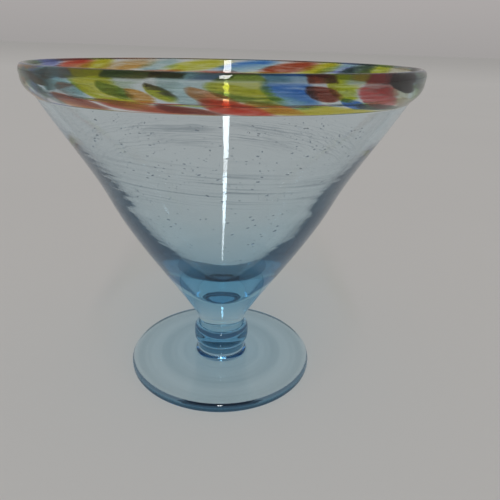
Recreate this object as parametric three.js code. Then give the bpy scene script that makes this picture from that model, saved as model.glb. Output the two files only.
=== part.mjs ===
import * as THREE from "three";

// Hand-blown margarita glass: a conical bowl on a neck, a collar and a round foot, with chips of
// coloured glass melted into a band below the lip. Millimetres, +Z up, origin at the centre of the
// foot's underside. Angles run from the front (-Y) towards the right (+X).

// Foot: a disc with a raised button in its middle
const footRadius = 36.9;
const footEdgeHeight = 3.4;
const footUpperRound = 1.6;
const footLowerRound = 0.9;
const footRise = 0.8;
const buttonRadius = 9.4;
const buttonTop = 9;
const buttonFillet = 2.6;

// Collar: the ring between the foot's button and the bowl's neck
const collarRadius = 11.1;
const collarHeight = 7.5;

// Bowl, outside: radius and height of each station, and the wall's angle from upright there
const neckRadius = 8.9;
const throatRadius = 11.3;
const throatHeight = 24;
const throatAngle = 31;
const waistRadius = 41.2;
const waistHeight = 73;
const waistAngle = 24;
const flareAngle = 28;

// Bowl, inside: the wall thickens from the band to the waist and on to a rounded floor over a solid base
const wallThickness = 2.7;
const waistThickness = 4;
const innerWaistAngle = 28;
const floorHeight = 33;
const floorCornerRadius = 14;
const floorCornerRise = 9;
const floorCornerAngle = 43;

// Lip: a fire-polished bead above the band that carries the chips, rolled over to meet the inside
const overallHeight = 118;
const rimRadius = 65.6;
const lipThickness = 2.8;
const beadHeight = 2.4;
const beadTurn = 155;
const bandHeight = 7.6;
const bandFlare = 4.2;
const bandKnee = 3.2;

// Chips: two rows of coloured glass let into the band
const chipThickness = 1;
const chipSeat = 0.3;
const chipGap = 0.5;
const chipEndPower = 3;
const lowerRowHeight = 3.7;
const rowsStart = -62;

// Facets
const bodyFacets = 64;
const collarFacets = 48;
const curveSteps = 6;
const chipLevels = 5;
const chipStep = 4;

const neckBottom = buttonTop + collarHeight;
const bandTop = overallHeight - beadHeight;
const bandBottom = bandTop - bandHeight;

const chipColours = {
  amber: 0xc98a1e,
  aqua: 0x9fc0c4,
  cobalt: 0x2c5aa8,
  coral: 0xd05a35,
  forest: 0x1f4a2c,
  green: 0x4f7a2c,
  lime: 0x9fb02a,
  maroon: 0x4a1c14,
  mustard: 0xa89a2c,
  navy: 0x141a26,
  olive: 0x6f7424,
  orange: 0xc8742a,
  peach: 0xd8a98c,
  red: 0xa8321e,
  rose: 0xb24a48,
  salmon: 0xa86a4a,
  sky: 0x7f9cc8,
  smoke: 0x8b9290,
  teal: 0x2f5a5c,
  umber: 0x5a4a1e,
  violet: 0x6f74a8,
  yellow: 0xb8a81e,
};

// The colours of each row in order around the rim, each with its share of the turn in degrees
const upperChips = [
  ["teal", 9], ["umber", 8], ["smoke", 10], ["yellow", 8], ["green", 8], ["orange", 5], ["umber", 5],
  ["aqua", 6], ["salmon", 5], ["olive", 6], ["cobalt", 9], ["maroon", 6], ["lime", 7], ["rose", 10],
  ["navy", 12], ["smoke", 16], ["umber", 24], ["peach", 14], ["lime", 10], ["forest", 8],
  ["violet", 10], ["yellow", 9], ["red", 17], ["sky", 20], ["mustard", 22], ["aqua", 9],
  ["orange", 20], ["yellow", 8], ["coral", 17], ["violet", 12], ["green", 30],
];
const lowerChips = [
  ["violet", 10], ["smoke", 11], ["salmon", 13], ["red", 11], ["maroon", 10], ["coral", 10],
  ["orange", 8], ["mustard", 8], ["yellow", 10], ["cobalt", 6], ["forest", 12], ["peach", 14],
  ["green", 22], ["amber", 24], ["sky", 22], ["red", 24], ["mustard", 25], ["red", 23],
  ["coral", 25], ["olive", 24], ["cobalt", 24], ["orange", 24],
];

// Row shapes: how far a chip's foot is swept past its head, how the sweep gathers, how its ends narrow
const upperRow = { name: "upper_chip", sweep: 5, curl: 1.1, taper: 0.35, colours: upperChips };
const lowerRow = { name: "lower_chip", sweep: 13, curl: 1.6, taper: 0.45, colours: lowerChips };

const radians = THREE.MathUtils.degToRad;
const point = (radius, height) => new THREE.Vector2(radius, height);

// Direction of a wall that leans outwards from upright by an angle.
function leaning(angle) {
  return point(Math.sin(radians(angle)), Math.cos(radians(angle)));
}

// A wall curve between two stations, with the wall's angle set at both.
function wallCurve(from, fromAngle, to, toAngle) {
  const reach = from.distanceTo(to) / 3;
  return new THREE.CubicBezierCurve(
    from,
    leaning(fromAngle).multiplyScalar(reach).add(from),
    leaning(toAngle).multiplyScalar(-reach).add(to),
    to,
  );
}

// The point of a curve at a share of its length, moved inwards across the wall.
function inwardsOf(curve, share, depth) {
  const along = curve.getTangentAt(share);
  return curve.getPointAt(share).add(point(-along.y, along.x).multiplyScalar(depth));
}

// A quarter turn of an edge from one axis direction to the other.
function edgeRound(centre, radius, fromAngle, toAngle) {
  const arc = new THREE.EllipseCurve(
    centre.x, centre.y, radius, radius, radians(fromAngle), radians(toAngle), fromAngle > toAngle,
  );
  return arc.getPoints(curveSteps - 2);
}

// Turns a profile of radius and height about +Z. The profile runs up the outside.
function turned(profile, facets) {
  return new THREE.LatheGeometry(profile, facets).rotateX(Math.PI / 2);
}

function glassMaterial() {
  return new THREE.MeshStandardMaterial({
    color: 0xa9c3cf, roughness: 0.05, metalness: 0, transparent: true, opacity: 0.5,
  });
}

function chipMaterial(colour) {
  return new THREE.MeshStandardMaterial({
    color: chipColours[colour], roughness: 0.15, metalness: 0, transparent: true, opacity: 0.85,
  });
}

function named(name, geometry, material) {
  const mesh = new THREE.Mesh(geometry, material);
  mesh.name = name;
  return mesh;
}

function footGeometry() {
  const buttonFoot = footEdgeHeight + footRise;
  const lowerCentre = point(footRadius - footLowerRound, footLowerRound);
  const upperCentre = point(footRadius - footUpperRound, footEdgeHeight - footUpperRound);
  const filletCentre = point(buttonRadius + buttonFillet, buttonFoot + buttonFillet);
  return turned([
    point(0, 0),
    ...edgeRound(lowerCentre, footLowerRound, -90, 0),
    ...edgeRound(upperCentre, footUpperRound, 0, 90),
    ...edgeRound(filletCentre, buttonFillet, 270, 180),
    point(buttonRadius, buttonTop),
    point(0, buttonTop),
  ], bodyFacets);
}

function collarGeometry() {
  // Handles that bring the middle of the curve out to the collar's radius
  const handle = (8 * collarRadius - buttonRadius - neckRadius) / 6;
  const bulge = new THREE.CubicBezierCurve(
    point(buttonRadius, buttonTop),
    point(handle, buttonTop),
    point(handle, neckBottom),
    point(neckRadius, neckBottom),
  );
  return turned([
    point(0, buttonTop),
    ...bulge.getPoints(2 * curveSteps),
    point(0, neckBottom),
  ], collarFacets);
}

// The band's outer face, from its lower edge up to the bead.
function bandCurve() {
  const lower = point(rimRadius - bandFlare, bandBottom);
  const upper = point(rimRadius, bandTop);
  const knee = point(rimRadius, bandBottom + bandKnee);
  return new THREE.QuadraticBezierCurve(lower, knee, upper);
}

// Part of the lip's bead, by its angles from the rim's widest place up and over.
function beadArc(fromAngle, toAngle) {
  const halfLip = lipThickness / 2;
  return new THREE.EllipseCurve(
    rimRadius - halfLip, bandTop, halfLip, beadHeight, radians(fromAngle), radians(toAngle),
  );
}

function bowlGeometry(band) {
  const throat = point(throatRadius, throatHeight);
  const waist = point(waistRadius, waistHeight);
  const neck = wallCurve(point(neckRadius, neckBottom), 0, throat, throatAngle);
  const belly = wallCurve(throat, throatAngle, waist, waistAngle);
  const flare = wallCurve(waist, waistAngle, band.getPoint(0), flareAngle);
  const shares = Array.from({ length: curveSteps + 1 }, (_, i) => i / curveSteps);
  const seat = shares.map((share) => inwardsOf(band, share, chipThickness + chipSeat));
  const thickness = (share) => THREE.MathUtils.lerp(waistThickness, wallThickness, share);
  const innerFlare = shares.map((share) => inwardsOf(flare, share, thickness(share))).reverse();
  const innerWaist = innerFlare[curveSteps];
  const floorCorner = point(floorCornerRadius, floorHeight + floorCornerRise);
  const innerBelly = wallCurve(floorCorner, floorCornerAngle, innerWaist, innerWaistAngle);
  const floor = new THREE.QuadraticBezierCurve(
    floorCorner,
    point(floorCornerRadius - floorCornerRise * Math.tan(radians(floorCornerAngle)), floorHeight),
    point(0, floorHeight),
  );
  return turned([
    point(0, neckBottom),
    ...neck.getPoints(curveSteps - 2),
    ...belly.getPoints(curveSteps).slice(1),
    ...flare.getPoints(curveSteps).slice(1),
    ...seat,
    ...beadArc(0, 90).getPoints(curveSteps - 2),
    ...beadArc(90, beadTurn).getPoints(curveSteps - 2).slice(1),
    ...innerFlare,
    ...innerBelly.getPoints(curveSteps).reverse().slice(1),
    ...floor.getPoints(curveSteps - 2).slice(1),
  ], bodyFacets);
}

// A closed pad between an inner and an outer skin, given as points on a grid of columns and levels.
function padGeometry(columns, levels, skinPoint) {
  const positions = [];
  const index = [];
  const corner = (side, i, j) => (side * levels + j) * columns + i;
  const quad = (a, b, c, d) => index.push(a, b, c, a, c, d);
  for (const side of [0, 1])
    for (let j = 0; j < levels; j++)
      for (let i = 0; i < columns; i++)
        positions.push(...skinPoint(side, i / (columns - 1), j / (levels - 1)));
  for (let j = 0; j < levels - 1; j++)
    for (let i = 0; i < columns - 1; i++) {
      quad(corner(1, i, j), corner(1, i + 1, j), corner(1, i + 1, j + 1), corner(1, i, j + 1));
      quad(corner(0, i, j), corner(0, i, j + 1), corner(0, i + 1, j + 1), corner(0, i + 1, j));
    }
  for (let i = 0; i < columns - 1; i++) {
    const top = levels - 1;
    quad(corner(0, i, 0), corner(0, i + 1, 0), corner(1, i + 1, 0), corner(1, i, 0));
    quad(corner(1, i, top), corner(1, i + 1, top), corner(0, i + 1, top), corner(0, i, top));
  }
  for (let j = 0; j < levels - 1; j++) {
    const last = columns - 1;
    quad(corner(0, 0, j), corner(1, 0, j), corner(1, 0, j + 1), corner(0, 0, j + 1));
    quad(corner(1, last, j), corner(0, last, j), corner(0, last, j + 1), corner(1, last, j + 1));
  }
  const geometry = new THREE.BufferGeometry();
  geometry.setAttribute("position", new THREE.Float32BufferAttribute(positions, 3));
  geometry.setIndex(index);
  geometry.computeVertexNormals();
  return geometry;
}

// One chip: a leaf on the band between two angles, its foot swept past its head and its ends narrowed.
function chipGeometry(band, row, fromAngle, toAngle, fromHeight, toHeight) {
  const bandLength = band.getLength();
  const halfGap = THREE.MathUtils.radToDeg(chipGap / 2 / rimRadius);
  const columns = Math.max(3, Math.ceil((toAngle - fromAngle) / chipStep) + 1);
  return padGeometry(columns, chipLevels, (side, across, up) => {
    const share = (fromHeight + up * (toHeight - fromHeight)) / bandLength;
    const place = inwardsOf(band, share, side ? 0 : chipThickness);
    const swept = row.sweep * ((1 - up) ** row.curl - 0.5 ** row.curl);
    const narrowed = ((toAngle - fromAngle) / 2) * row.taper * Math.abs(2 * up - 1) ** chipEndPower;
    const inset = halfGap + narrowed;
    const angle = radians(fromAngle + inset + across * (toAngle - fromAngle - 2 * inset) + swept);
    return [place.x * Math.sin(angle), -place.x * Math.cos(angle), place.y];
  });
}

function chipRow(band, row, fromHeight, toHeight) {
  const turn = row.colours.reduce((sum, [, share]) => sum + share, 0);
  const chips = new THREE.Group();
  let angle = rowsStart;
  row.colours.forEach(([colour, share], i) => {
    const next = angle + (360 * share) / turn;
    const geometry = chipGeometry(band, row, angle, next, fromHeight, toHeight);
    const number = String(i + 1).padStart(2, "0");
    chips.add(named(`${row.name}_${number}_${colour}`, geometry, chipMaterial(colour)));
    angle = next;
  });
  return chips;
}

const band = bandCurve();
const margaritaGlass = new THREE.Group();
margaritaGlass.add(
  named("foot", footGeometry(), glassMaterial()),
  named("collar", collarGeometry(), glassMaterial()),
  named("bowl", bowlGeometry(band), glassMaterial()),
  chipRow(band, lowerRow, chipSeat, lowerRowHeight),
  chipRow(band, upperRow, lowerRowHeight + chipGap, band.getLength() - chipSeat),
);

export default margaritaGlass;
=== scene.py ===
import bpy
import math
import random
from mathutils import Matrix, Vector
from mathutils.geometry import interpolate_bezier


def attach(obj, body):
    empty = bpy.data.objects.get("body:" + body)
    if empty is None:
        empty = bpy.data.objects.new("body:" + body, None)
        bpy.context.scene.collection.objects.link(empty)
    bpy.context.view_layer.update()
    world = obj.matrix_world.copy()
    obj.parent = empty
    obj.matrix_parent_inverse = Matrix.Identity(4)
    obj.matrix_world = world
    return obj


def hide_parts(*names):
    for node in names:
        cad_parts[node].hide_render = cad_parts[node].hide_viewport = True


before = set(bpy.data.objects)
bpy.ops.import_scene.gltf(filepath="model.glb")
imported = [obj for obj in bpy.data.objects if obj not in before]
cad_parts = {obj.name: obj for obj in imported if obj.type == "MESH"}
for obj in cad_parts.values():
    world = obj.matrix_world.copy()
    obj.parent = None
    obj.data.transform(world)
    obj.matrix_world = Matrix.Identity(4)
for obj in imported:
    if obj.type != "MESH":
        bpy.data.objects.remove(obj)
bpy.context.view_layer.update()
scene = bpy.context.scene
mm = 0.001
print("frame loaded:", len(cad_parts), "nodes")


# Small helpers

def hexToLinear(code):  # sRGB hex to linear red, green, blue
    parts = [int(code[i:i + 2], 16) / 255 for i in (1, 3, 5)]
    return [c / 12.92 if c <= 0.04045 else ((c + 0.055) / 1.055) ** 2.4 for c in parts]


def addNode(tree, kind, settings=None, links=None):
    # settings in lower case are the node's own, the rest and all links are its sockets
    node = tree.nodes.new(kind)
    for name, value in (settings or {}).items():
        if isinstance(name, str) and name[0].islower():
            setattr(node, name, value)
        else:
            node.inputs[name].default_value = value
    for name, socket in (links or {}).items():
        tree.links.new(socket, node.inputs[name])
    return node


def newMaterial(name):
    material = bpy.data.materials.new(name)
    material.use_nodes = True
    material.node_tree.nodes.clear()
    return material, material.node_tree


def activate(piece):
    bpy.ops.object.select_all(action="DESELECT")
    piece.select_set(True)
    bpy.context.view_layer.objects.active = piece


def applyModifier(piece, name, kind, settings):
    activate(piece)
    modifier = piece.modifiers.new(name, kind)
    for key, value in settings.items():
        setattr(modifier, key, value)
    bpy.ops.object.modifier_apply(modifier=modifier.name)


def finishPiece(piece, material, slot, *nodes):
    piece.data.materials.clear()
    piece.data.materials.append(material)
    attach(piece, "root")
    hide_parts(*nodes)


# Camera: where the photograph was taken from

camera = {
    "place": (0, -176.51, 122.28),
    "pitch": 22.61,
    "yaw": 3.52,
    "roll": 2.08,
    "focalShare": 486.5 / 500,  # focal length over the frame's width
}


def makeCamera(c):
    bpy.ops.object.camera_add()
    eye = bpy.context.object
    eye.name = "photoCamera"
    pitch, yaw, roll = (math.radians(c[k]) for k in ("pitch", "yaw", "roll"))
    ahead = Vector((math.sin(yaw) * math.cos(pitch), math.cos(yaw) * math.cos(pitch), -math.sin(pitch)))
    right = ahead.cross(Vector((0, 0, 1))).normalized()
    up = right.cross(ahead)
    turnedRight = right * math.cos(roll) + up * math.sin(roll)
    turnedUp = up * math.cos(roll) - right * math.sin(roll)
    axes = Matrix((turnedRight, turnedUp, -ahead)).transposed().to_4x4()
    eye.matrix_world = Matrix.Translation(Vector(c["place"]) * mm) @ axes
    eye.data.lens = eye.data.sensor_width * c["focalShare"]
    eye.data.clip_start = 0.01
    scene.camera = eye


makeCamera(camera)
print("camera placed")


# Studio: pale floor and surround, one long strip lamp over the front

studio = {
    "floorSize": 60,
    "floorDrop": 0.2,
    "floorNear": "#d6d3d0",  # under the glass, where the lamp adds its light
    "floorFar": "#e6e3e0",
    "floorReach": (0.2, 2.5),
    "floorCloud": 6,
    "floorGrain": 0.97,
    "horizon": "#a29f9e",
    "horizonTop": 0.08,  # heights in the surround: 0 is level, 1 straight up
    "surround": "#aba7a6",
    "overhead": "#85858b",
    "overheadFrom": (0.25, 0.75),
    "lightLevel": 0.44,
    "stripPlace": (-130, -3250, 4500),
    "stripTarget": (0, 0, 80),
    "stripWidth": 0.42,
    "stripLength": 3.9,
    "stripWatts": 75,
}


def makeFloor(s):
    bpy.ops.object.select_all(action="DESELECT")
    bpy.ops.mesh.primitive_plane_add(size=s["floorSize"], location=(0, 0, -s["floorDrop"] * mm))
    floor = bpy.context.object
    floor.name = "studioFloor"
    material, tree = newMaterial("mattePaleFloor")  # matte card: even, with a soft shadow and no gloss
    place = addNode(tree, "ShaderNodeTexCoord")
    cloud = addNode(tree, "ShaderNodeTexNoise", {"Scale": s["floorCloud"], "Detail": 3},
                    {"Vector": place.outputs["Object"]})
    away = addNode(tree, "ShaderNodeVectorMath", {"operation": "LENGTH"}, {0: place.outputs["Object"]})
    near, far = s["floorReach"]
    depth = addNode(tree, "ShaderNodeMapRange", {1: near, 2: far}, {0: away.outputs[1]})
    tone = addNode(tree, "ShaderNodeMix", {
        "data_type": "RGBA", 6: hexToLinear(s["floorNear"]) + [1], 7: hexToLinear(s["floorFar"]) + [1],
    }, {0: depth.outputs[0]})
    grain = addNode(tree, "ShaderNodeMapRange", {3: s["floorGrain"], 4: 1}, {0: cloud.outputs[0]})
    tone = addNode(tree, "ShaderNodeMix", {"data_type": "RGBA", "blend_type": "MULTIPLY", 0: 1},
                   {6: tone.outputs[2], 7: grain.outputs[0]})
    matte = addNode(tree, "ShaderNodeBsdfDiffuse", {}, {"Color": tone.outputs[2]})
    addNode(tree, "ShaderNodeOutputMaterial", {}, {"Surface": matte.outputs[0]})
    floor.data.materials.append(material)


def makeWorld(s):
    world = bpy.data.worlds.new("studioSurround")
    scene.world = world
    world.use_nodes = True
    tree = world.node_tree
    tree.nodes.clear()
    # what the eye, the gloss and the glass see: pale at the horizon, dim overhead
    place = addNode(tree, "ShaderNodeTexCoord")
    height = addNode(tree, "ShaderNodeSeparateXYZ", {}, {0: place.outputs["Generated"]})
    lift = addNode(tree, "ShaderNodeMapRange", {1: 0, 2: s["horizonTop"]}, {0: height.outputs[2]})
    near = addNode(tree, "ShaderNodeMix", {
        "data_type": "RGBA", 6: hexToLinear(s["horizon"]) + [1], 7: hexToLinear(s["surround"]) + [1],
    }, {0: lift.outputs[0]})
    low, high = s["overheadFrom"]
    rise = addNode(tree, "ShaderNodeMapRange", {1: low, 2: high, "interpolation_type": "SMOOTHSTEP"},
                   {0: height.outputs[2]})
    seen = addNode(tree, "ShaderNodeMix", {"data_type": "RGBA", 7: hexToLinear(s["overhead"]) + [1]},
                   {0: rise.outputs[0], 6: near.outputs[2]})
    path = addNode(tree, "ShaderNodeLightPath")
    shown = addNode(tree, "ShaderNodeMath", {"operation": "MAXIMUM"},
                    {0: path.outputs["Is Camera Ray"], 1: path.outputs["Is Glossy Ray"]})
    shown = addNode(tree, "ShaderNodeMath", {"operation": "MAXIMUM"},
                    {0: shown.outputs[0], 1: path.outputs["Is Transmission Ray"]})
    # light that reaches the floor through the glass counts as light, not as a look
    direct = addNode(tree, "ShaderNodeMath", {"operation": "LESS_THAN", 1: 0.5},
                     {0: path.outputs["Diffuse Depth"]})
    shown = addNode(tree, "ShaderNodeMath", {"operation": "MULTIPLY"},
                    {0: shown.outputs[0], 1: direct.outputs[0]})
    light = addNode(tree, "ShaderNodeBackground", {"Color": (1, 1, 1, 1), "Strength": s["lightLevel"]})
    look = addNode(tree, "ShaderNodeBackground", {"Strength": 1}, {"Color": seen.outputs[2]})
    both = addNode(tree, "ShaderNodeMixShader", {},
                   {0: shown.outputs[0], 1: light.outputs[0], 2: look.outputs[0]})
    addNode(tree, "ShaderNodeOutputWorld", {}, {"Surface": both.outputs[0]})


def makeStrip(s):
    bpy.ops.object.light_add(type="AREA")
    strip = bpy.context.object
    strip.name = "stripLamp"
    strip.data.shape = "RECTANGLE"
    strip.data.size = s["stripWidth"]
    strip.data.size_y = s["stripLength"]
    strip.data.energy = s["stripWatts"]
    place = Vector(s["stripPlace"]) * mm
    aim = Vector(s["stripTarget"]) * mm - place
    strip.location = place
    strip.rotation_euler = aim.to_track_quat("-Z", "Y").to_euler()


makeFloor(studio)
makeWorld(studio)
makeStrip(studio)
scene.view_settings.view_transform = "Standard"
scene.cycles.max_bounces = 32
scene.cycles.transmission_bounces = 32
scene.cycles.transparent_max_bounces = 32
scene.cycles.glossy_bounces = 12
print("studio lit")


# Glass: blown soda-lime glass, fire-polished. Clear where thin, blue where it is thick,
# with faint tool marks round the waist that bend what is seen through it.

glass = {
    "ior": 1.52,
    "roughness": 0.0,
    "absorbed": "#30d1f1",  # what a long way through it leaves
    "density": 35,
    "welds": (9, 16.5),  # heights where pieces were joined hot, so no surface is left there
    "weldReach": 0.03,
    "longestWay": 3,  # light that runs on inside the glass leaves it after so many bounces
    "wallWay": (22, 46, 1),  # up the wall, from one height to the other, it runs on for more
    "buttonWay": (6.6, 2.5, -1),  # and within reach of the button's height for less
    "lateTone": "#c8cdd2",  # what each skin then leaves of that light
    "shade": "#feffff",  # what one skin leaves of the light that falls to the floor
    "markPitch": 0.55,  # spacing of the tool marks in mm
    "markLength": 42,
    "markRadius": 45,  # where that length holds
    "markSlant": 2.6,
    "markLow": 76,
    "markHigh": 98,
    "markDepth": 0.006,
    "markTone": "#bcc2c8",
    "markContrast": (0.5, 0.68),
    "rippleLength": 9,  # short waves in the wall
    "ripplePitch": 1.9,
    "rippleDepth": 0.014,
    "rippleFrom": (36, 48),
    "swirlSize": 26,
    "swirlDepth": 0.16,
    "ringPitch": 5,  # painted shade: rings of lighter and darker colour on the foot, for how the rings that spinning left there look in the light
    "ringShadeTone": "#eef1f2",
    "ringContrast": (0.4, 0.62),
    "ringTop": 5,
    "edgeShadeTone": "#5e727a",  # painted shade: the foot's edge is coloured darker, as it looks into the depth of the glass
    "edgeFrom": (36, 36.5),
    "edgeTop": (1.6, 2.4),
}


def makeGlass(g):
    material, tree = newMaterial("blownSodaGlass")
    place = addNode(tree, "ShaderNodeTexCoord")
    xyz = addNode(tree, "ShaderNodeSeparateXYZ", {}, {0: place.outputs["Object"]})
    # tool marks: noise drawn out round the axis, by angle and height
    turn = addNode(tree, "ShaderNodeMath", {"operation": "ARCTAN2"}, {0: xyz.outputs[0], 1: xyz.outputs[1]})
    perTurn = g["markRadius"] / g["markLength"]
    around = addNode(tree, "ShaderNodeMath", {"operation": "MULTIPLY", 1: perTurn}, {0: turn.outputs[0]})
    upward = addNode(tree, "ShaderNodeMath", {"operation": "MULTIPLY", 1: 1 / (g["markPitch"] * mm)},
                     {0: xyz.outputs[2]})
    slant = addNode(tree, "ShaderNodeMath", {"operation": "SINE"}, {0: turn.outputs[0]})
    slantRise = g["markSlant"] / g["markPitch"]
    upward = addNode(tree, "ShaderNodeMath", {"operation": "MULTIPLY_ADD", 1: slantRise},
                     {0: slant.outputs[0], 2: upward.outputs[0]})
    line = addNode(tree, "ShaderNodeCombineXYZ", {}, {0: around.outputs[0], 2: upward.outputs[0]})
    marks = addNode(tree, "ShaderNodeTexNoise", {"Scale": 1, "Detail": 2}, {"Vector": line.outputs[0]})
    middle = (g["markLow"] + g["markHigh"]) / 2 * mm
    reach = (g["markHigh"] - g["markLow"]) / 2 * mm
    away = addNode(tree, "ShaderNodeMath", {"operation": "SUBTRACT", 1: middle}, {0: xyz.outputs[2]})
    away = addNode(tree, "ShaderNodeMath", {"operation": "ABSOLUTE"}, {0: away.outputs[0]})
    waist = addNode(tree, "ShaderNodeMapRange", {
        1: 0, 2: reach, 3: 1, 4: 0, "interpolation_type": "SMOOTHSTEP",
    }, {0: away.outputs[0]})
    markHeight = addNode(tree, "ShaderNodeMath", {"operation": "MULTIPLY"},
                         {0: marks.outputs[0], 1: waist.outputs[0]})
    # swirl: the slow waves of glass blown by hand
    swirl = addNode(tree, "ShaderNodeTexNoise", {"Scale": 1 / (g["swirlSize"] * mm), "Detail": 1},
                    {"Vector": place.outputs["Object"]})
    slow = addNode(tree, "ShaderNodeBump", {"Strength": 1, "Distance": g["swirlDepth"] * mm},
                   {"Height": swirl.outputs[0]})
    # ripple: shorter waves in the wall
    shrink = (g["markLength"] / g["rippleLength"], 1, g["markPitch"] / g["ripplePitch"])
    wave = addNode(tree, "ShaderNodeVectorMath", {"operation": "MULTIPLY", 1: shrink}, {0: line.outputs[0]})
    ripple = addNode(tree, "ShaderNodeTexNoise", {"Scale": 1, "Detail": 1}, {"Vector": wave.outputs[0]})
    low, high = g["rippleFrom"]
    onWall = addNode(tree, "ShaderNodeMapRange", {1: low * mm, 2: high * mm}, {0: xyz.outputs[2]})
    ripple = addNode(tree, "ShaderNodeMath", {"operation": "MULTIPLY"},
                     {0: ripple.outputs[0], 1: onWall.outputs[0]})
    short = addNode(tree, "ShaderNodeBump", {"Strength": 1, "Distance": g["rippleDepth"] * mm},
                    {"Height": ripple.outputs[0], "Normal": slow.outputs[0]})
    fine = addNode(tree, "ShaderNodeBump", {"Strength": 1, "Distance": g["markDepth"] * mm},
                   {"Height": markHeight.outputs[0], "Normal": short.outputs[0]})
    low, high = g["markContrast"]
    lines = addNode(tree, "ShaderNodeMapRange", {1: low, 2: high, "interpolation_type": "SMOOTHSTEP"},
                    {0: marks.outputs[0]})
    drawn = addNode(tree, "ShaderNodeMath", {"operation": "MULTIPLY"},
                    {0: lines.outputs[0], 1: waist.outputs[0]})
    skinToneAndShade = addNode(tree, "ShaderNodeMix", {
        "data_type": "RGBA", 6: (1, 1, 1, 1), 7: hexToLinear(g["markTone"]) + [1],
    }, {0: drawn.outputs[0]})
    # rings: painted shade, lighter and darker by the distance from the axis
    flat = addNode(tree, "ShaderNodeVectorMath", {"operation": "MULTIPLY", 1: (1, 1, 0)},
                   {0: place.outputs["Object"]})
    out = addNode(tree, "ShaderNodeVectorMath", {"operation": "LENGTH"}, {0: flat.outputs[0]})
    rings = addNode(tree, "ShaderNodeTexNoise", {
        "noise_dimensions": "1D", "Scale": 1 / (g["ringPitch"] * mm), "Detail": 1,
    }, {"W": out.outputs[1]})
    low, high = g["ringContrast"]
    rings = addNode(tree, "ShaderNodeMapRange", {1: low, 2: high, "interpolation_type": "SMOOTHSTEP"},
                    {0: rings.outputs[0]})
    onFoot = addNode(tree, "ShaderNodeMath", {"operation": "LESS_THAN", 1: g["ringTop"] * mm},
                     {0: xyz.outputs[2]})
    shadedRings = addNode(tree, "ShaderNodeMath", {"operation": "MULTIPLY"},
                     {0: rings.outputs[0], 1: onFoot.outputs[0]})
    # the painted ring shade goes into the glass's colour on the foot only
    skinToneAndShade = addNode(tree, "ShaderNodeMix", {"data_type": "RGBA", 7: hexToLinear(g["ringShadeTone"]) + [1]},
                       {0: shadedRings.outputs[0], 6: skinToneAndShade.outputs[2]})
    # edge: painted shade, a darker colour round the foot's edge
    low, high = g["edgeFrom"]
    outside = addNode(tree, "ShaderNodeMapRange", {1: low * mm, 2: high * mm}, {0: out.outputs[1]})
    low, high = g["edgeTop"]
    lowDown = addNode(tree, "ShaderNodeMapRange", {1: low * mm, 2: high * mm, 3: 1, 4: 0},
                      {0: xyz.outputs[2]})
    edge = addNode(tree, "ShaderNodeMath", {"operation": "MULTIPLY"},
                   {0: outside.outputs[0], 1: lowDown.outputs[0]})
    skinToneAndShade = addNode(tree, "ShaderNodeMix", {"data_type": "RGBA", 7: hexToLinear(g["edgeShadeTone"]) + [1]},
                       {0: edge.outputs[0], 6: skinToneAndShade.outputs[2]})
    # the glass's colour: tool marks, with the painted shade of the foot's rings and edge
    clear = addNode(tree, "ShaderNodeBsdfPrincipled", {
        "Roughness": g["roughness"], "IOR": g["ior"], "Transmission Weight": 1,
    }, {"Base Color": skinToneAndShade.outputs[2], "Normal": fine.outputs[0]})
    # hot joints leave no skin behind
    joints = [addNode(tree, "ShaderNodeMath", {"operation": "COMPARE", 1: z * mm, 2: g["weldReach"] * mm},
                      {0: xyz.outputs[2]}) for z in g["welds"]]
    joint = addNode(tree, "ShaderNodeMath", {"operation": "MAXIMUM"},
                    {0: joints[0].outputs[0], 1: joints[1].outputs[0]})
    noSkin = addNode(tree, "ShaderNodeBsdfTransparent")
    skin = addNode(tree, "ShaderNodeMixShader", {},
                   {0: joint.outputs[0], 1: clear.outputs[0], 2: noSkin.outputs[0]})
    # light that has run round inside the wall for long leaves it, dimmer
    path = addNode(tree, "ShaderNodeLightPath")
    low, high, more = g["wallWay"]
    upWall = addNode(tree, "ShaderNodeMapRange", {
        1: low * mm, 2: high * mm, 3: g["longestWay"], 4: g["longestWay"] + more,
    }, {0: xyz.outputs[2]})
    height, reach, more = g["buttonWay"]
    atButton = addNode(tree, "ShaderNodeMath", {"operation": "COMPARE", 1: height * mm, 2: reach * mm},
                       {0: xyz.outputs[2]})
    limit = addNode(tree, "ShaderNodeMath", {"operation": "MULTIPLY_ADD", 1: more},
                    {0: atButton.outputs[0], 2: upWall.outputs[0]})
    late = addNode(tree, "ShaderNodeMath", {"operation": "SUBTRACT", "use_clamp": True},
                   {0: path.outputs["Ray Depth"], 1: limit.outputs[0]})
    leaving = addNode(tree, "ShaderNodeBsdfTransparent", {"Color": hexToLinear(g["lateTone"]) + [1]})
    skin = addNode(tree, "ShaderNodeMixShader", {},
                   {0: late.outputs[0], 1: skin.outputs[0], 2: leaving.outputs[0]})
    # light on its way to the floor falls straight through
    falling = addNode(tree, "ShaderNodeMath", {"operation": "MAXIMUM"},
                      {0: path.outputs["Is Shadow Ray"], 1: path.outputs["Is Diffuse Ray"]})
    shade = addNode(tree, "ShaderNodeBsdfTransparent", {"Color": hexToLinear(g["shade"]) + [1]})
    skin = addNode(tree, "ShaderNodeMixShader", {},
                   {0: falling.outputs[0], 1: skin.outputs[0], 2: shade.outputs[0]})
    tint = addNode(tree, "ShaderNodeVolumeAbsorption", {
        "Color": hexToLinear(g["absorbed"]) + [1], "Density": g["density"],
    })
    addNode(tree, "ShaderNodeOutputMaterial", {}, {"Surface": skin.outputs[0], "Volume": tint.outputs[0]})
    return material


blownGlass = makeGlass(glass)


# Turned pieces: a profile of radius and height, spun about the axis

def wallArc(start, startAngle, end, endAngle, count):  # angles of the wall from upright
    start, end = Vector(start), Vector(end)
    reach = (end - start).length / 3
    handles = []
    for angle in (startAngle, endAngle):
        turn = math.radians(angle)
        handles.append(Vector((math.sin(turn), math.cos(turn))) * reach)
    return interpolate_bezier(start, start + handles[0], end - handles[1], end, count)


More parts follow.
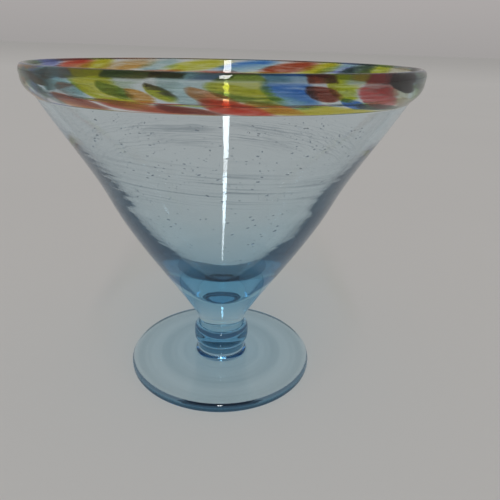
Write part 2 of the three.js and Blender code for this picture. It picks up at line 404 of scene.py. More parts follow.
def roundArc(centre, across, upward, fromAngle, toAngle, count):
    steps = [math.radians(fromAngle + (toAngle - fromAngle) * i / (count - 1)) for i in range(count)]
    return [Vector((centre[0] + across * math.cos(a), centre[1] + upward * math.sin(a))) for a in steps]


mergeReach = 0.002  # mm
smoothAngle = 40


def spinProfile(name, profile, steps):
    bpy.ops.object.select_all(action="DESELECT")
    bpy.ops.mesh.primitive_plane_add(size=mm, location=(0, 0, 0))
    piece = bpy.context.object
    piece.name = piece.data.name = name
    bpy.ops.object.mode_set(mode="EDIT")
    bpy.ops.mesh.select_all(action="SELECT")
    bpy.ops.mesh.merge(type="CENTER")  # one point to draw the profile with
    bpy.ops.transform.translate(value=(profile[0][0] * mm, 0, profile[0][1] * mm))
    for here, there in zip(profile, profile[1:]):
        step = ((there[0] - here[0]) * mm, 0, (there[1] - here[1]) * mm)
        bpy.ops.mesh.extrude_vertices_move(TRANSFORM_OT_translate={"value": step})
    bpy.ops.mesh.select_all(action="SELECT")
    bpy.ops.mesh.spin(steps=steps, angle=2 * math.pi, center=(0, 0, 0), axis=(0, 0, 1))
    bpy.ops.mesh.select_all(action="SELECT")
    bpy.ops.mesh.remove_doubles(threshold=mergeReach * mm)
    bpy.ops.mesh.normals_make_consistent(inside=False)
    bpy.ops.object.mode_set(mode="OBJECT")
    activate(piece)
    bpy.ops.object.shade_smooth_by_angle(angle=math.radians(smoothAngle))
    return piece


# Foot: a disc spun out by hand, with faint rings, and a button for the collar

foot = {
    "radius": 36.9,
    "edge": 3.4,
    "upperRound": 1.5,
    "lowerRound": 0.9,
    "roundSteps": {"lower": 7, "upper": 11, "fillet": 11},
    "rise": 0.8,
    "button": 9.4,
    "buttonTop": 9,
    "fillet": 2.6,
    "ringPitches": (3.7, 5.9),
    "ringDepth": 0.022,
    "plateSteps": 50,
    "steps": 160,
}


def makeFoot(f):
    edgeTop = Vector((f["radius"] - f["upperRound"], f["edge"]))
    filletEnd = Vector((f["button"] + f["fillet"], f["edge"] + f["rise"]))
    plate = []
    for i in range(1, f["plateSteps"]):
        share = i / f["plateSteps"]
        spot = edgeTop.lerp(filletEnd, share)
        fade = math.sin(math.pi * share)
        wave = sum(math.sin(2 * math.pi * spot.x / pitch) for pitch in f["ringPitches"])
        plate.append(spot + Vector((0, f["ringDepth"] * fade * wave)))
    low, high, turn = f["lowerRound"], f["upperRound"], f["fillet"]
    count = f["roundSteps"]
    profile = [
        Vector((0, 0)), Vector((f["radius"] * 0.5, 0)),
        *roundArc((f["radius"] - low, low), low, low, -90, 0, count["lower"]),
        *roundArc((f["radius"] - high, f["edge"] - high), high, high, 0, 90, count["upper"]),
        *plate,
        *roundArc((filletEnd.x, filletEnd.y + turn), turn, turn, 270, 180, count["fillet"]),
        Vector((f["button"], f["buttonTop"])), Vector((f["button"] * 0.5, f["buttonTop"])),
        Vector((0, f["buttonTop"])),
    ]
    return spinProfile("glassFoot", profile, f["steps"])


footPiece = makeFoot(foot)
finishPiece(footPiece, blownGlass, "clear_glass", "foot")
print("foot spun")


# Collar: the ring of glass between the button and the neck

collar = {
    "low": 9,
    "lowRadius": 9.4,
    "high": 16.5,
    "highRadius": 8.9,
    "radius": 11.1,
    "belly": 3.7,  # height of the widest place above the button
    "bellyHandles": (1.8, 1.9),  # how far the belly stays upright below and above it
    "curveSteps": 12,
    "steps": 128,
}


def makeCollar(c):
    wide = Vector((c["radius"], c["low"] + c["belly"]))
    low = Vector((c["lowRadius"], c["low"]))
    high = Vector((c["highRadius"], c["high"]))
    below, above = (Vector((0, handle)) for handle in c["bellyHandles"])
    lower = interpolate_bezier(low, Vector((c["radius"], low.y)), wide - below, wide, c["curveSteps"])
    upper = interpolate_bezier(wide, wide + above, Vector((c["radius"], high.y)), high, c["curveSteps"])
    profile = [
        Vector((0, c["low"])), Vector((c["lowRadius"] * 0.5, c["low"])),
        *lower, *upper[1:],
        Vector((c["highRadius"] * 0.5, c["high"])), Vector((0, c["high"])),
    ]
    return spinProfile("glassCollar", profile, c["steps"])


collarPiece = makeCollar(collar)
finishPiece(collarPiece, blownGlass, "clear_glass", "collar")
print("collar spun")


# Bowl: blown in one, with a thick base, a thin wall and a heavy lip

bowl = {
    "neckRadius": 8.9,
    "neckBottom": 16.5,
    "throat": (11.3, 24),
    "throatAngle": 31,
    "waist": (41.2, 73),
    "waistAngle": 24,
    "flareAngle": 28,
    "lipAngle": 23,
    "rimRadius": 64.95,
    "height": 117.95,
    "lipThickness": 2.8,
    "beadHeight": 2.2,
    "beadFrom": -28,  # where the bead leaves the band and where it meets the inside, in degrees
    "beadTo": 155,
    "bandHeight": 7.5,
    "bandFlare": 3.75,
    "knee": (2.35, 2.2, 3.2),  # the band's lower handle out and up, and the upper handle's height
    "crease": 0.22,
    "wall": 2.7,
    "waistWall": 4.0,
    "floor": (14, 42),
    "floorHeight": 33,
    "floorAngle": 43,
    "floorHandle": 0.667,  # how far the curve's handles reach towards the corner
    "innerWaistAngle": 28,
    "markDepth": 0.006,  # ridges left by the shaping tool
    "markPitches": (2.1, 3.633),
    "markLow": 70,
    "markHigh": 100,
    "outerSteps": {"neck": 16, "belly": 60, "flare": 60, "band": 24, "bead": 27},
    "innerSteps": {"mouth": 20, "upper": 40, "lower": 44, "bottom": 20},
    "steps": 176,
}


def inward(angle):  # across a wall that leans out by an angle
    return Vector((-math.cos(math.radians(angle)), math.sin(math.radians(angle))))


def toolMark(z, b):  # small ridges round the waist, fading up and down
    share = (z - b["markLow"]) / (b["markHigh"] - b["markLow"])
    if not 0 < share < 1:
        return 0
    first, second = (2 * math.pi * z / pitch for pitch in b["markPitches"])
    wave = math.sin(first) + math.sin(second + 1)
    return b["markDepth"] * math.sin(math.pi * share) ** 2 * wave


def makeBowl(b):
    bandTop = b["height"] - b["beadHeight"]
    lipMiddle = b["rimRadius"] - b["lipThickness"] / 2
    beadEnds = b["beadFrom"], b["beadTo"]
    count = b["outerSteps"]
    bead = roundArc((lipMiddle, bandTop), b["lipThickness"] / 2, b["beadHeight"], *beadEnds, count["bead"])
    bandFoot = Vector((b["rimRadius"] - b["bandFlare"], bandTop - b["bandHeight"]))
    bandHead = bead[0]
    neck = wallArc((b["neckRadius"], b["neckBottom"]), 0, b["throat"], b["throatAngle"], count["neck"])
    belly = wallArc(b["throat"], b["throatAngle"], b["waist"], b["waistAngle"], count["belly"])
    flare = wallArc(b["waist"], b["waistAngle"], bandFoot, b["flareAngle"], count["flare"])
    out, up, upper = b["knee"]
    handle = Vector((b["rimRadius"] - b["crease"], bandFoot.y + upper))
    band = interpolate_bezier(bandFoot, bandFoot + Vector((out, up)), handle, bandHead, count["band"])
    outer = neck + belly[1:] + flare[1:] + band[1:]
    outer = [spot + Vector((toolMark(spot.y, b), 0)) for spot in outer]
    # inside: the wall thickens down to the waist and on to the base
    count = b["innerSteps"]
    lip = bead[-1]
    flareTop = bandFoot + inward(b["flareAngle"]) * b["wall"]
    waistIn = Vector(b["waist"]) + inward(b["waistAngle"]) * b["waistWall"]
    upper = wallArc(waistIn, b["innerWaistAngle"], flareTop, b["flareAngle"], count["upper"])
    mouth = wallArc(flareTop, b["flareAngle"], lip, b["lipAngle"], count["mouth"])
    lower = wallArc(b["floor"], b["floorAngle"], waistIn, b["innerWaistAngle"], count["lower"])
    corner, centre = Vector(b["floor"]), Vector((0, b["floorHeight"]))
    slope = math.tan(math.radians(b["floorAngle"]))
    floorKnee = Vector((corner.x - (corner.y - centre.y) * slope, centre.y))
    handles = [spot.lerp(floorKnee, b["floorHandle"]) for spot in (corner, centre)]
    bottom = interpolate_bezier(corner, *handles, centre, count["bottom"])
    profile = [
        Vector((0, b["neckBottom"])), Vector((b["neckRadius"] * 0.5, b["neckBottom"])),
        *outer, *bead[1:], *mouth[::-1][1:], *upper[::-1][1:], *lower[::-1][1:], *bottom[1:],
    ]
    skin = outer + [spot for spot in bead[1:] if spot.x > lipMiddle]
    return spinProfile("glassBowl", profile, b["steps"]), skin


bowlPiece, bowlSkin = makeBowl(bowl)
print("bowl spun")


def skinRadius(z):  # how far out the bowl's skin is at a height
    for low, high in zip(bowlSkin, bowlSkin[1:]):
        if z <= high.y:
            return low.x + (high.x - low.x) * (z - low.y) / (high.y - low.y)
    return bowlSkin[-1].x


# Hand work: the rim leans a little to the left and sits a little to the right

lean = {
    "size": (140, 140, 120),
    "drop": 1.95,
    "shift": 0.6,
}
rimLean = lean["drop"] / lean["size"][0]
rimDrop = lean["drop"] / 2


# Confetti: chips of coloured glass laid on the hot rim and melted in just under the skin

chipForm = {
    "depth": 0.22,
    "depthStep": 0.13,  # neighbours lie at three depths, so that they can overlap
    "lowerDepth": 0.25,  # the lower row lies this much deeper
    "thickness": 0.7,
    "roundness": 0.94,
    "taper": 0.4,  # how far the tail narrows
    "sweep": 0.8,  # how far the upper side runs ahead of the lower one at the head, by the width
    "columns": 14,
    "rows": 12,
    "smoothing": 2,
    "lowest": 108.3,  # the band's lower edge and the top of the bead hold the chips in
    "highest": 117.85,
    "easing": 0.9,
    "leafShare": 0.5,  # a chip drawn up into the bead keeps so much of its upper half for the leaf
    "lipReach": 0.9,  # and the rest aims this far past the top of the bead
    "creaseHeight": 115.5,  # of chips that aren't drawn up
}

# Chips that face the front: angle and height of the head, the same of the tail, width and bow in mm
chipPlaces = {
    "upper_chip_01_teal": (-60.0, 116.7, -44.7, 109.9, 4.1, 0.0),
    "upper_chip_02_umber": (-55.5, 115.6, -43.4, 113.3, 2.4, 0.0),
    "upper_chip_03_smoke": (-44.9, 115.9, -29.3, 110.8, 4.1, 0.0),
    "upper_chip_04_yellow": (-37.6, 116.6, -13.5, 109.4, 3.0, -1.5),
    "upper_chip_05_green": (-28.8, 114.5, -18.2, 111.8, 2.9, 0.0),
    "upper_chip_06_orange": (-21.5, 113.0, -13.9, 111.3, 3.1, 0.0),
    "upper_chip_07_umber": (-17.4, 114.6, -8.9, 111.5, 2.9, 0.0),
    "upper_chip_08_aqua": (-15.0, 115.6, -1.8, 110.3, 5.3, 0.0),
    "upper_chip_09_salmon": (-9.1, 114.1, 5.3, 109.9, 3.4, 0.0),
    "upper_chip_10_olive": (-5.6, 114.9, 13.4, 111.2, 4.1, 0.2),
    "upper_chip_11_cobalt": (5.6, 115.1, 21.8, 110.4, 5.3, 0.0),
    "upper_chip_12_maroon": (15.4, 114.2, 26.0, 112.4, 3.8, 0.0),
    "upper_chip_13_lime": (20.0, 116.3, 30.3, 111.7, 4.8, 0.0),
    "upper_chip_14_rose": (28.1, 113.8, 48.0, 109.4, 4.8, 0.0),
    "upper_chip_15_navy": (38.0, 116.2, 54.0, 113.0, 3.6, 0.0),
    "upper_chip_16_smoke": (44.5, 117.2, 67.8, 112.5, 3.4, 0.0),
    "lower_chip_01_violet": (-59.3, 112.4, -49.3, 107.8, 1.9, 0.0),
    "lower_chip_02_smoke": (-51.0, 112.5, -39.7, 108.4, 3.1, 0.0),
    "lower_chip_03_salmon": (-45.2, 110.9, -24.8, 107.9, 4.1, -0.2),
    "lower_chip_04_red": (-31.0, 110.9, -2.3, 108.0, 2.6, -0.3),
    "lower_chip_05_maroon": (-16.2, 110.2, 2.0, 107.9, 2.2, 0.0),
    "lower_chip_06_coral": (-6.8, 111.6, 12.4, 107.8, 3.8, 0.0),
    "lower_chip_07_orange": (2.3, 111.4, 19.6, 108.2, 2.7, 0.0),
    "lower_chip_08_mustard": (6.8, 109.9, 30.4, 107.1, 2.4, -0.2),
    "lower_chip_09_yellow": (13.2, 110.4, 43.7, 107.6, 2.6, -0.2),
    "lower_chip_10_cobalt": (24.5, 111.9, 35.0, 109.4, 2.1, 0.0),
    "lower_chip_11_forest": (28.6, 110.5, 54.0, 108.2, 1.8, 0.0),
    "lower_chip_12_peach": (43.2, 111.2, 62.0, 108.8, 2.8, 0.0),
}

# Chips drawn up into the bead: the angles they reach there, their tones from left to right,
# the height of the crease under the bead and the share of colour taken out there as a painted highlight
beadPlaces = {
    "upper_chip_03_smoke": (-44.0, -36.5, "teal", "smoke", 115.7, 0.3),
    "upper_chip_04_yellow": (-37.1, -26.2, "yellow", "lime", 115.7, 0.1),
    "upper_chip_05_green": (-27.0, -12.6, "moss", "umber", 115.9, 0.7),
    "upper_chip_07_umber": (-15.5, -7.4, "umber", "umber", 116.2, 0.9),
    "upper_chip_08_aqua": (-10.6, 2.6, "teal", "ink", 116.2, 0.3),
    "upper_chip_10_olive": (0.8, 6.5, "olive", "olive", 116.1, 0.25),
    "upper_chip_11_cobalt": (5.0, 17.2, "teal", "aqua", 115.9, 0.2),
    "upper_chip_12_maroon": (15.4, 23.0, "maroon", "umber", 115.6, 0.8),
    "upper_chip_13_lime": (20.5, 34.2, "lime", "aqua", 115.5, 0.15),
    "upper_chip_14_rose": (32.6, 44.0, "maroon", "navy", 115.4, 0.3),
    "upper_chip_15_navy": (38.8, 53.5, "umber", "navy", 115.4, 0.1),
    "upper_chip_16_smoke": (50.0, 66.0, "smoke", "smoke", 115.8, 0.2),
}

# Chips further round lie slantwise across their own place in the row
rearChip = {
    "ahead": 5,  # degrees past both ends of the place
    "behind": 8,
    "headLift": {"upper": 1.5, "lower": 0},  # mm over the top of the place
    "tailLift": 0.9,  # mm over its bottom
    "widthShare": 1.5,
}


def chipPlace(name):
    if name in chipPlaces:
        return chipPlaces[name]
    spots = [v.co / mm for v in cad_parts[name].data.vertices]
    low, high = min(s.z for s in spots), max(s.z for s in spots)
    middle = sum(spots, Vector()) / len(spots)
    facing = math.atan2(middle.x, -middle.y)
    turns = []
    for s in spots:
        turn = math.atan2(s.x, -s.y) - facing
        turns.append(math.degrees(facing + math.atan2(math.sin(turn), math.cos(turn))))
    r = rearChip
    head = min(turns) - r["ahead"], high + r["headLift"][name.split("_")[0]]
    tail = max(turns) + r["behind"], low + r["tailLift"]
    return *head, *tail, (high - low) * r["widthShare"], 0.0


def easedHeight(z, c):  # chips bunch up against the lip and against the band's lower edge
    ease = c["easing"]
    if z > c["highest"] - ease:
        return c["highest"] - ease * math.exp((c["highest"] - ease - z) / ease)
    if z < c["lowest"] + ease:
        return c["lowest"] + ease * math.exp((z - c["lowest"] - ease) / ease)
    return z


def makeChip(name, order):
    headTurn, headHeight, tailTurn, tailHeight, width, bow = chipPlace(name)
    c = chipForm
    bpy.ops.object.select_all(action="DESELECT")
    bpy.ops.mesh.primitive_grid_add(x_subdivisions=c["columns"], y_subdivisions=c["rows"], size=2)
    chip = bpy.context.object
    chip.name = chip.data.name = name.replace("chip", "confetti")
    perDegree = math.radians(bowl["rimRadius"])
    head = Vector((headTurn * perDegree, headHeight))
    tail = Vector((tailTurn * perDegree, tailHeight))
    along, centre = (tail - head) / 2, (head + tail) / 2
    side = Vector((-along.y, along.x)).normalized()
    depth = c["depth"] + c["depthStep"] * (order % 3)
    if name.startswith("lower"):
        depth += c["lowerDepth"]
    for vertex in chip.data.vertices:  # the square grid becomes a leaf with a round head, laid round the rim
        u, v = vertex.co.x, vertex.co.y
        rise = 0
        if v > 0 and name in beadPlaces:
            rise = max(0, v - c["leafShare"]) / (1 - c["leafShare"])
            v = min(1, v / c["leafShare"])
        run = u * math.sqrt(1 - c["roundness"] * v * v / 2)
        cross = v * math.sqrt(1 - c["roundness"] * u * u / 2) * (1 - c["taper"] * max(0, u) ** 2)
        lead = c["sweep"] * cross * width / 2 * (1 - u) / 2
        spot = centre + along * run - along.normalized() * lead
        spot += side * (cross * width / 2 + bow * (1 - run * run))
        if rise:
            first, last = beadPlaces[name][:2]
            reached = first + (last - first) * (u + 1) / 2
            lip = Vector((reached * perDegree, c["highest"] + c["lipReach"]))
            spot = spot.lerp(lip, rise)
        turn = math.radians(spot.x / perDegree)
        height = easedHeight(spot.y, c)
        radius = skinRadius(height) - depth
        vertex.co = Vector((radius * math.sin(turn), -radius * math.cos(turn), height)) * mm
    applyModifier(chip, "body", "SOLIDIFY", {"thickness": c["thickness"] * mm, "offset": -1})
    applyModifier(chip, "melt", "SUBSURF", {"levels": c["smoothing"], "render_levels": c["smoothing"]})
    bpy.ops.object.mode_set(mode="EDIT")
    bpy.ops.mesh.select_all(action="SELECT")
    bpy.ops.mesh.normals_make_consistent(inside=False)
    bpy.ops.object.mode_set(mode="OBJECT")
    bpy.ops.object.shade_smooth()
    return chip


# Colours of the chips, as they look against a pale ground
confetti = {
    "ground": "#a5a2a1",
    "amber": "#c89434", "aqua": "#98b0ae", "cobalt": "#27639c", "coral": "#b83c20", "forest": "#3e5442",
    "green": "#607834", "ink": "#1c2c4a", "lime": "#9c9c0a", "maroon": "#74321e", "moss": "#303a20",
    "mustard": "#b8a83c", "navy": "#101018", "olive": "#747e30", "orange": "#cc823a", "peach": "#c8a890",
    "red": "#964424", "rose": "#b05450", "salmon": "#bc7446", "sky": "#86a0c8", "smoke": "#828a88",
    "teal": "#5c7674", "umber": "#463c1c", "violet": "#767aa4", "yellow": "#ac9c1a",
}

# Second tone of some chips: where it starts and where it is full, by the share of the width from below
secondTone = {
    "upper_chip_03_smoke": ("sky", 0.15, 0.45),
    "upper_chip_04_yellow": ("lime", 0.7, 0.25),
    "upper_chip_07_umber": ("mustard", 0.68, 0.4),
    "upper_chip_10_olive": ("yellow", 0.3, 0.55),
    "upper_chip_11_cobalt": ("sky", 0.62, 0.2),
    "upper_chip_14_rose": ("maroon", 0.5, 0.85),
    "upper_chip_21_violet": ("sky", 0.3, 0.75),
    "upper_chip_24_sky": ("cobalt", 0.3, 0.75),
    "upper_chip_27_orange": ("peach", 0.3, 0.75),
    "upper_chip_29_coral": ("orange", 0.7, 0.25),
    "lower_chip_03_salmon": ("maroon", 0.2, 0.6),
}

chipLook = {
    "feather": {"front": 0.24, "back": 0.6},  # share of the half width over which the edge thins out
    "ragged": 0.16,
    "raggedMiddle": 0.4,  # how much of the raggedness lies outside the outline
    "tailFade": (0.45, 1.0),  # where the tail starts to thin out and where it ends
    "tailRagged": 0.5,
    "streakLength": 8,  # mm
    "streakRadius": 64,  # where that length holds
    "streakWidth": 0.55,
    "streakContrast": (0.35, 0.65),
    "thinSpots": 0.55,
    "thinSpotsDark": 0.35,  # share of the thin spots that a black chip would have
    # how much of the colour one face of the chip gives, as a power
    "strength": {"front": 0.74, "back": 0.6, "bead": 0.46},
    "body": 0.28,  # share of the light that the colour scatters
    "crease": 0.5,  # reach of the crease under the bead
    "beadFade": (0.7, 1.05),  # the same as the tail's fade, for the part in the bead
    "beadBlend": (0.35, 0.65),  # where the two tones in the bead meet along the chip
    "fillFrom": 0.4,  # how far up the leaf the colour between leaf and bead is full
}


def makeChipGlass(colour, second, ends, row, beadTones, level, creaseHighlight):
    # coloured glass melted flush: it filters light without bending it, thins to nothing at its edges
    # and is drawn out in streaks along the rim
    k = chipLook
    ground = hexToLinear(confetti["ground"])
    tones = []
    for name, part in zip((colour, second, *beadTones), (row, row, "bead", "bead")):
        pairs = zip(hexToLinear(confetti[name]), ground)
        tones.append([min(1, c / g) ** k["strength"][part] for c, g in pairs] + [1])
    body = hexToLinear(confetti[colour])
    names = dict.fromkeys((colour, second, *beadTones))
    material, tree = newMaterial("confettiGlass_" + "_".join(names) + "_" + row)
    place = addNode(tree, "ShaderNodeTexCoord")
    xyz = addNode(tree, "ShaderNodeSeparateXYZ", {}, {0: place.outputs["Object"]})
    turn = addNode(tree, "ShaderNodeMath", {"operation": "ARCTAN2"}, {0: xyz.outputs[0], 1: xyz.outputs[1]})
    perTurn = k["streakRadius"] / k["streakLength"]
    around = addNode(tree, "ShaderNodeMath", {"operation": "MULTIPLY", 1: perTurn}, {0: turn.outputs[0]})
    upward = addNode(tree, "ShaderNodeMath", {"operation": "MULTIPLY", 1: 1 / (k["streakWidth"] * mm)},
                     {0: xyz.outputs[2]})
    flow = addNode(tree, "ShaderNodeCombineXYZ", {}, {0: around.outputs[0], 2: upward.outputs[0]})
    streak = addNode(tree, "ShaderNodeTexNoise", {"Scale": 1, "Detail": 3}, {"Vector": flow.outputs[0]})
    # distance from the chip's middle, by its own UV map: sharp at the head and sides, fading at the tail
    uv = addNode(tree, "ShaderNodeSeparateXYZ", {}, {0: place.outputs["UV"]})
    share = chipForm["leafShare"] if beadTones else 1
    below = addNode(tree, "ShaderNodeMath", {"operation": "MULTIPLY_ADD", 1: -2, 2: 1}, {0: uv.outputs[1]})
    over = addNode(tree, "ShaderNodeMath", {"operation": "MULTIPLY", 1: -1 / share}, {0: below.outputs[0]})
    across = addNode(tree, "ShaderNodeMath", {"operation": "MAXIMUM"},
                     {0: below.outputs[0], 1: over.outputs[0]})
    ahead = addNode(tree, "ShaderNodeMath", {"operation": "MULTIPLY_ADD", 1: -2, 2: 1}, {0: uv.outputs[0]})
    edge = addNode(tree, "ShaderNodeMath", {"operation": "MAXIMUM"},
                   {0: across.outputs[0], 1: ahead.outputs[0]})
    end = 1 + k["ragged"] * k["raggedMiddle"]
    sharpEdges = []
    for outline in (edge, ahead):
        torn = addNode(tree, "ShaderNodeMath", {"operation": "MULTIPLY_ADD", 1: k["ragged"]},
                       {0: streak.outputs[0], 2: outline.outputs[0]})
        sharpEdges.append(addNode(tree, "ShaderNodeMapRange", {
            1: end - k["feather"][row], 2: end, 3: 1, 4: 0, "interpolation_type": "SMOOTHSTEP",
        }, {0: torn.outputs[0]}))
    sharp, sharpHead = sharpEdges
    start = -1 - k["tailRagged"] / 2
    behindHead = addNode(tree, "ShaderNodeMath", {"operation": "MULTIPLY_ADD", 1: 2, 2: start},
                         {0: uv.outputs[0]})
    drawnOut = addNode(tree, "ShaderNodeMath", {"operation": "MULTIPLY_ADD", 1: k["tailRagged"]},
                       {0: streak.outputs[0], 2: behindHead.outputs[0]})
    soft = addNode(tree, "ShaderNodeMapRange", {
        1: k["tailFade"][0], 2: k["tailFade"][1], 3: 1, 4: 0, "interpolation_type": "SMOOTHSTEP",
    }, {0: drawnOut.outputs[0]})
    # height over the crease under the bead, in the plane of the leaning rim
    rim = addNode(tree, "ShaderNodeVectorMath", {"operation": "DOT_PRODUCT", 1: (-rimLean, 0, 1)},
                  {0: place.outputs["Object"]})
    above = addNode(tree, "ShaderNodeMath", {"operation": "SUBTRACT", 1: (level - rimDrop) * mm},
                    {0: rim.outputs[1]})
    reach = k["crease"] * mm
    inBead = addNode(tree, "ShaderNodeMapRange", {1: -reach / 2, 2: reach / 2}, {0: above.outputs[0]})
    whole = addNode(tree, "ShaderNodeMath", {"operation": "MULTIPLY"},
                    {0: sharp.outputs[0], 1: soft.outputs[0]})
    if beadTones:  # colour left between the leaf and the bead, and the colour in the bead
        softBead = addNode(tree, "ShaderNodeMapRange", {
            1: k["beadFade"][0], 2: k["beadFade"][1], 3: 1, 4: 0, "interpolation_type": "SMOOTHSTEP",
        }, {0: drawnOut.outputs[0]})
        # between the leaf and the bead the colour also stays thinner by the painted crease highlight
        upperHalf = addNode(tree, "ShaderNodeMapRange", {1: 0, 2: k["fillFrom"], 3: 0, 4: 1 - creaseHighlight},
                            {0: over.outputs[0]})
        between = addNode(tree, "ShaderNodeMath", {"operation": "MULTIPLY"},
                          {0: upperHalf.outputs[0], 1: soft.outputs[0]})
        inside = addNode(tree, "ShaderNodeMath", {"operation": "MULTIPLY"},
                         {0: softBead.outputs[0], 1: inBead.outputs[0]})
        drawnUp = addNode(tree, "ShaderNodeMath", {"operation": "MAXIMUM"},
                          {0: between.outputs[0], 1: inside.outputs[0]})
        drawnUp = addNode(tree, "ShaderNodeMath", {"operation": "MULTIPLY"},
                          {0: drawnUp.outputs[0], 1: sharpHead.outputs[0]})
        whole = addNode(tree, "ShaderNodeMath", {"operation": "MAXIMUM"},
                        {0: whole.outputs[0], 1: drawnUp.outputs[0]})
    # thin spots along the streaks, fewer in dark chips and none in the bead
    dark = k["thinSpotsDark"]
    thinnest = 1 - k["thinSpots"] * (dark + (1 - dark) * max(tones[0][:3]))
    low, high = k["streakContrast"]
    thin = addNode(tree, "ShaderNodeMapRange", {1: low, 2: high, 3: 1, 4: thinnest}, {0: streak.outputs[0]})
    thin = addNode(tree, "ShaderNodeMath", {"operation": "MAXIMUM"},
                   {0: thin.outputs[0], 1: inBead.outputs[0]})
    cover = addNode(tree, "ShaderNodeMath", {"operation": "MULTIPLY"},
                    {0: whole.outputs[0], 1: thin.outputs[0]})
    if creaseHighlight:  # painted highlight: the colour thins away along the crease, a pale line
        off = addNode(tree, "ShaderNodeMath", {"operation": "ABSOLUTE"}, {0: above.outputs[0]})
        creaseHighlighted = addNode(tree, "ShaderNodeMapRange", {
            1: reach / 3, 2: reach, 3: 1 - creaseHighlight, 4: 1, "interpolation_type": "SMOOTHSTEP",
        }, {0: off.outputs[0]})
        cover = addNode(tree, "ShaderNodeMath", {"operation": "MULTIPLY"},
                        {0: cover.outputs[0], 1: creaseHighlighted.outputs[0]})
    # two tones run into each other along the streaks, whose noise is 0.5 on average
    rise = addNode(tree, "ShaderNodeMath", {"operation": "ADD"}, {0: uv.outputs[1], 1: streak.outputs[0]})
    shift = addNode(tree, "ShaderNodeMapRange", {
        1: ends[0] + 0.5, 2: ends[1] + 0.5, "interpolation_type": "SMOOTHSTEP",
    }, {0: rise.outputs[0]})
    tone = addNode(tree, "ShaderNodeMix", {"data_type": "RGBA", 6: tones[0], 7: tones[1]},
                   {0: shift.outputs[0]})
    if beadTones:
        low, high = k["beadBlend"]
        run = addNode(tree, "ShaderNodeMapRange", {1: low, 2: high, "interpolation_type": "SMOOTHSTEP"},
                      {0: uv.outputs[0]})
        beadTone = addNode(tree, "ShaderNodeMix", {"data_type": "RGBA", 6: tones[2], 7: tones[3]},
                           {0: run.outputs[0]})
        tone = addNode(tree, "ShaderNodeMix", {"data_type": "RGBA"},
                       {0: inBead.outputs[0], 6: tone.outputs[2], 7: beadTone.outputs[2]})
    filtered = addNode(tree, "ShaderNodeMix", {"data_type": "RGBA", 6: (1, 1, 1, 1)},
                       {0: cover.outputs[0], 7: tone.outputs[2]})
    clear = addNode(tree, "ShaderNodeBsdfTransparent", {}, {"Color": filtered.outputs[2]})
    front = addNode(tree, "ShaderNodeBsdfDiffuse", {"Color": body + [1]})
    behind = addNode(tree, "ShaderNodeBsdfTranslucent", {"Color": body + [1]})
    pigment = addNode(tree, "ShaderNodeMixShader", {0: 0.5}, {1: front.outputs[0], 2: behind.outputs[0]})
    amount = addNode(tree, "ShaderNodeMath", {"operation": "MULTIPLY", 1: k["body"]}, {0: cover.outputs[0]})
    melt = addNode(tree, "ShaderNodeMixShader", {},
                   {0: amount.outputs[0], 1: clear.outputs[0], 2: pigment.outputs[0]})
    addNode(tree, "ShaderNodeOutputMaterial", {}, {"Surface": melt.outputs[0]})
    return material


chipNames = sorted(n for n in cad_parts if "_chip_" in n)
chipGlass = {}
chips = []
for order, name in enumerate(chipNames):
    colour = name.rsplit("_", 1)[1]
    second, *ends = secondTone.get(name, (colour, 0, 1))
    row = "front" if name in chipPlaces else "back"
    notDrawnUp = (0, 0, chipForm["creaseHeight"], 0)
    *beadTones, level, creaseHighlight = beadPlaces.get(name, notDrawnUp)[2:]
    look = (colour, second, tuple(ends), row, tuple(beadTones), level, creaseHighlight)
    if look not in chipGlass:
        chipGlass[look] = makeChipGlass(*look)
    chip = makeChip(name, order)
    chips.append(chip)
    finishPiece(chip, chipGlass[look], "chip_" + colour, name)
print("confetti laid:", len(chips), "chips")


# Seeds: small bubbles caught in the wall, drawn out by the blowing

seeds = {
    "count": 800,
    "segments": 8,
    "rings": 5,
    "length": 0.36,
    "across": 0.15,
    "smallest": 0.6,  # times the size above
    "lowest": 44,
    "highest": 106,
    "depth": 1.5,  # under the skin, give or take the spread
    "spread": 0.6,
    "tilt": 25,
    "seed": 12,
    # larger ones: angle, height, size
    "large": ((23.8, 70.6, 2.0), (45.8, 79.5, 1.7), (-5.7, 84.7, 1.5), (8, 104, 1.2)),
}


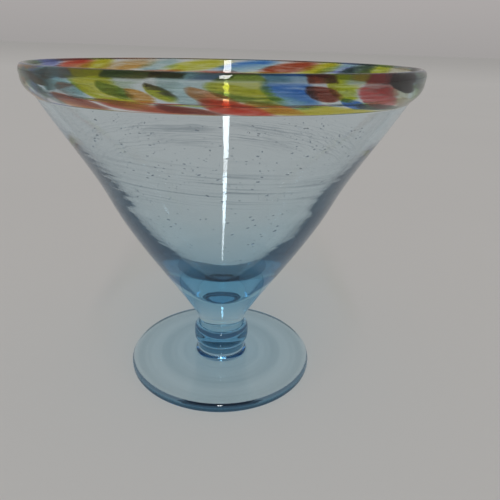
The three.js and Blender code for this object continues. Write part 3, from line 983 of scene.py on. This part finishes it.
def makeSeeds(s):
    draw = random.Random(s["seed"])
    bpy.ops.object.select_all(action="DESELECT")
    bpy.ops.mesh.primitive_uv_sphere_add(segments=s["segments"], ring_count=s["rings"], radius=1)
    first = bpy.context.object
    bpy.ops.object.mode_set(mode="EDIT")
    bpy.ops.mesh.select_all(action="SELECT")
    bpy.ops.mesh.flip_normals()  # a hollow: its faces look into the bubble
    bpy.ops.object.mode_set(mode="OBJECT")
    bpy.ops.object.shade_smooth()
    places = list(s["large"])
    while len(places) < s["count"]:
        z = s["lowest"] + (s["highest"] - s["lowest"]) * math.sqrt(draw.random())
        places.append((draw.uniform(-180, 180), z, s["smallest"] + draw.random() ** 2))
    bubbles = []
    for angle, z, size in places:
        bubble = first.copy()
        bubble.data = first.data.copy()
        scene.collection.objects.link(bubble)
        turn = math.radians(angle)
        radius = skinRadius(z) - s["depth"] + draw.uniform(-s["spread"], s["spread"])
        long, thin = s["length"] * size * mm, s["across"] * size * mm
        shape = Matrix.Diagonal((long, thin, thin, 1))
        tilt = Matrix.Rotation(math.radians(draw.uniform(-s["tilt"], s["tilt"])), 4, "Y")
        spot = Matrix.Translation((radius * math.sin(turn) * mm, -radius * math.cos(turn) * mm, z * mm))
        bubble.data.transform(spot @ Matrix.Rotation(turn, 4, "Z") @ tilt @ shape)
        bubbles.append(bubble)
    bpy.data.objects.remove(first)
    activate(bowlPiece)
    for bubble in bubbles:
        bubble.select_set(True)
    bpy.ops.object.join()


makeSeeds(seeds)
finishPiece(bowlPiece, blownGlass, "clear_glass", "bowl")
print("seeds set:", seeds["count"])


# Hand work: the finished rim leans

def leanRim(h):
    bpy.ops.object.select_all(action="DESELECT")
    bpy.ops.object.add(type="LATTICE", location=(0, 0, h["size"][2] / 2 * mm))
    cage = bpy.context.object
    cage.scale = Vector(h["size"]) * mm
    cage.data.points_u = cage.data.points_v = 2
    cage.data.points_w = 3
    for axis in "uvw":
        setattr(cage.data, "interpolation_type_" + axis, "KEY_LINEAR")
    topLayer = max(point.co.z for point in cage.data.points)
    for point in cage.data.points:
        if point.co.z == topLayer:  # points run from -0.5 to 0.5
            left = 0.5 - point.co.x
            point.co_deform.z -= left * h["drop"] / h["size"][2]
            point.co_deform.x += h["shift"] / h["size"][0]
    bpy.context.view_layer.update()
    for piece in [bowlPiece, *chips]:
        applyModifier(piece, "lean", "LATTICE", {"object": cage})
    bpy.data.objects.remove(cage)


leanRim(lean)
print("rim leaned")

bpy.context.view_layer.update()
